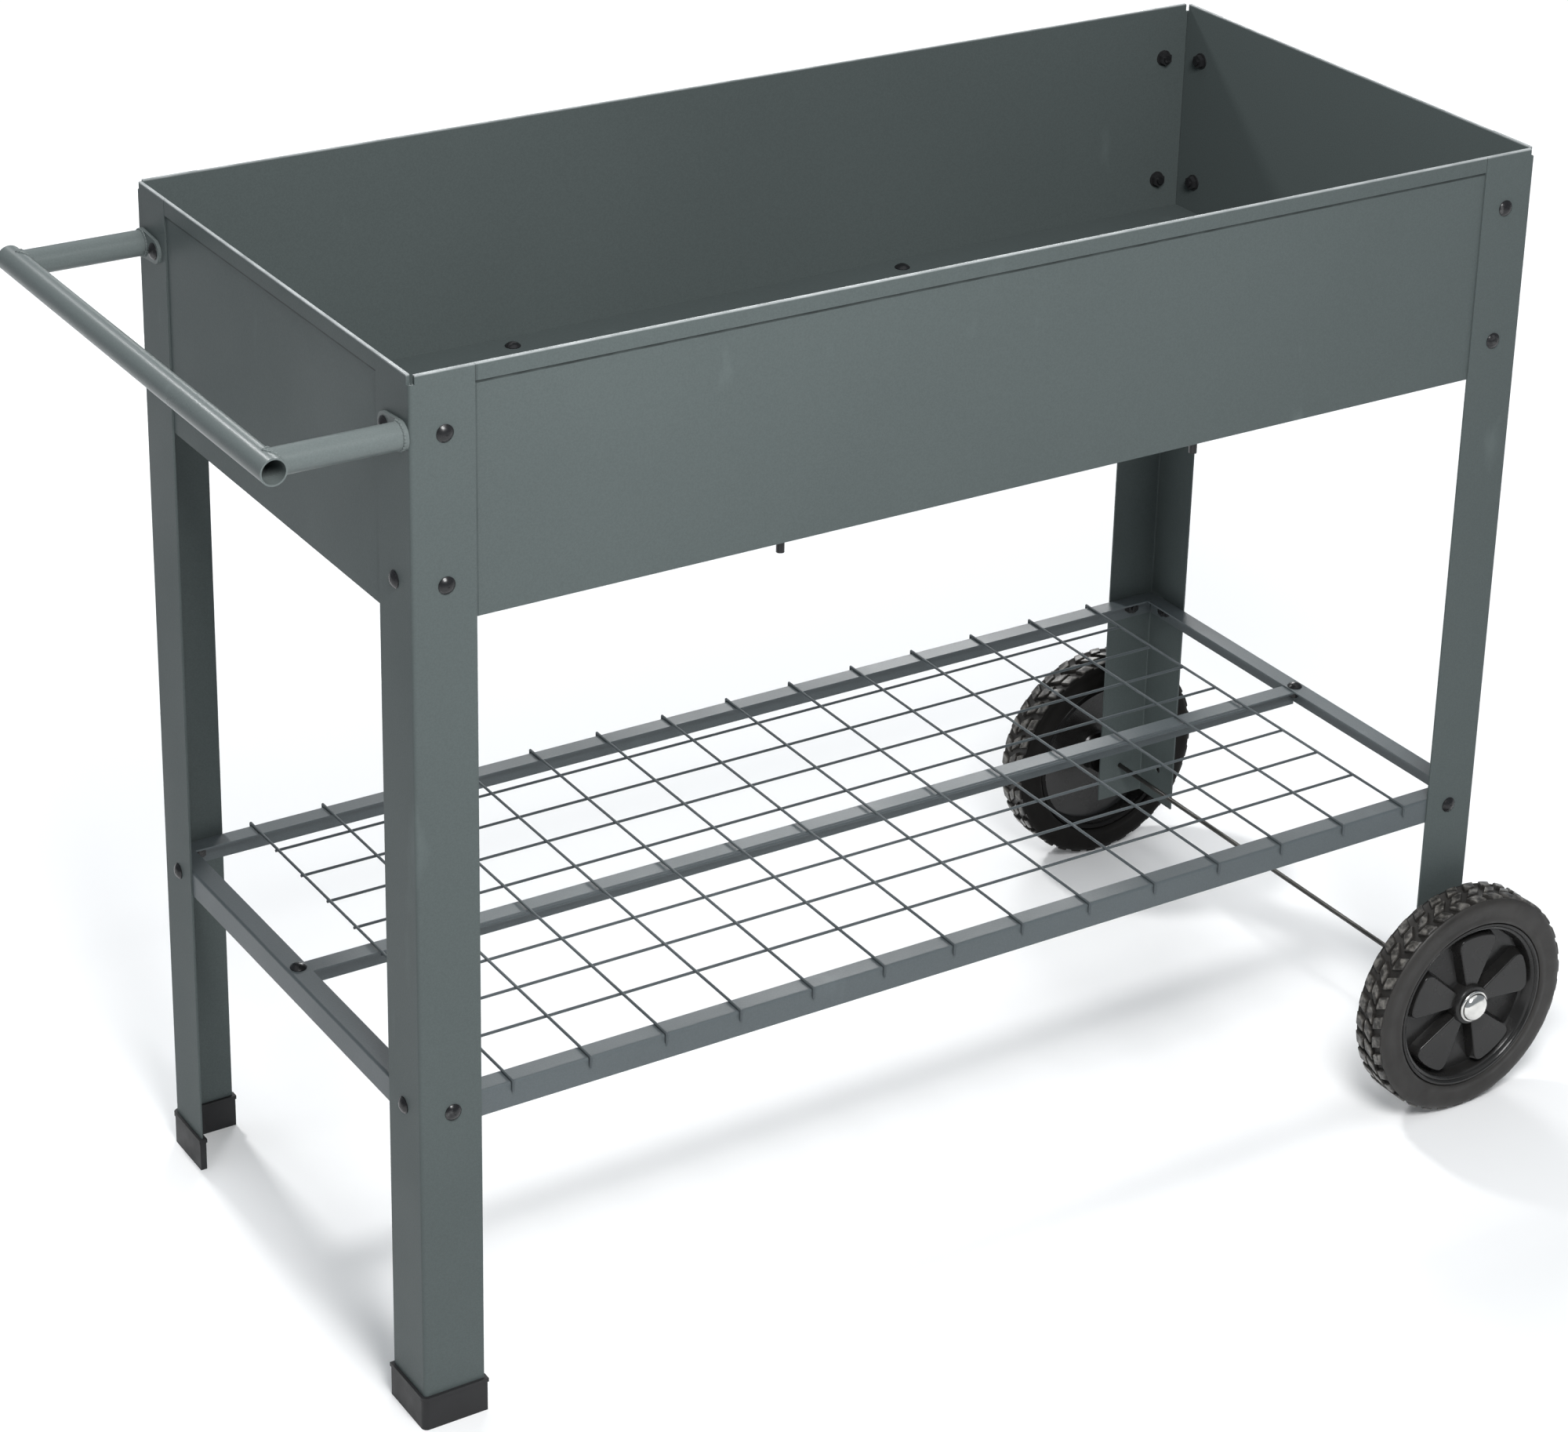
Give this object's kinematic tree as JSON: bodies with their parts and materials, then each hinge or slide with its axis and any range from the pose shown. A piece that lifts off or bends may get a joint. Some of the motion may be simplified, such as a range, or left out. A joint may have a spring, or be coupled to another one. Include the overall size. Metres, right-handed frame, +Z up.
{
  "type": "raised planter on legs",
  "caption": "Sheet-steel planter trough raised on angle legs, with a tube handle at one end, a wire shelf below and wheels at the other end.",
  "frame": {"origin": "on the ground, at the centre of the planter's outline seen from above", "axes": "+X along the trough from the handle end to the wheel end, +Y from the front to the back, +Z up"},
  "size_m": [1.115, 0.5438, 0.8],
  "materials": {
    "panel_paint": "satin slate grey-green powder coat on sheet steel",
    "leg_paint": "satin slate grey-green powder coat on angle steel",
    "rail_paint": "satin slate grey-green powder coat on angle steel",
    "wire_paint": "satin dark grey powder coat on welded wire",
    "handle_paint": "semi-gloss slate grey-green powder coat on steel tube",
    "cap_plastic": "matt black moulded plastic",
    "axle_steel": "zinc-plated drawn rod, dulled",
    "tyre_rubber": "matt black rubber with moulded tread",
    "rim_plastic": "semi-matt black moulded plastic",
    "spacer_plastic": "matt black moulded plastic",
    "axle_cap_steel": "bright zinc-plated pressed steel",
    "black_bolts": "black oxide, slightly glossy domed heads",
    "black_nuts": "black oxide, satin"
  },
  "bodies": {
    "frame": {"front_panel": "panel_paint", "back_panel": "panel_paint", "left_end_panel": "panel_paint", "right_end_panel": "panel_paint", "tray_floor": "panel_paint", "leg_front_left": "leg_paint", "leg_back_left": "leg_paint", "leg_front_right": "leg_paint", "leg_back_right": "leg_paint", "foot_cap_front": "cap_plastic", "foot_cap_back": "cap_plastic", "shelf_front_rail": "rail_paint", "shelf_back_rail": "rail_paint", "shelf_left_rail": "rail_paint", "shelf_right_rail": "rail_paint", "shelf_middle_rail": "rail_paint", "shelf_mesh": "wire_paint", "handle_cross_tube": "handle_paint", "handle_front_arm": "handle_paint", "handle_back_arm": "handle_paint", "handle_front_plate": "handle_paint", "handle_back_plate": "handle_paint", "axle": "axle_steel", "front_axle_spacer": "spacer_plastic", "front_axle_cap": "axle_cap_steel", "back_axle_spacer": "spacer_plastic", "back_axle_cap": "axle_cap_steel", "tray_bolts": "black_bolts", "tray_nuts": "black_nuts", "handle_bolts": "black_bolts", "handle_nuts": "black_nuts", "floor_bolts": "black_bolts", "floor_nuts": "black_nuts", "shelf_bolts": "black_bolts", "shelf_nuts": "black_nuts", "middle_rail_bolts": "black_bolts", "middle_rail_nuts": "black_nuts"},
    "front_wheel": {"front_wheel_tyre": "tyre_rubber", "front_wheel_rim": "rim_plastic"},
    "back_wheel": {"back_wheel_tyre": "tyre_rubber", "back_wheel_rim": "rim_plastic"}
  },
  "joints": [
    {"name": "front_wheel_spin", "type": "hinge", "parent": "frame", "child": "front_wheel", "pos_m": [0.4625, -0.2465, 0.095], "axis": [0, 1, 0], "continuous": true},
    {"name": "back_wheel_spin", "type": "hinge", "parent": "frame", "child": "back_wheel", "pos_m": [0.4625, 0.2465, 0.095], "axis": [0, 1, 0], "continuous": true}
  ]
}
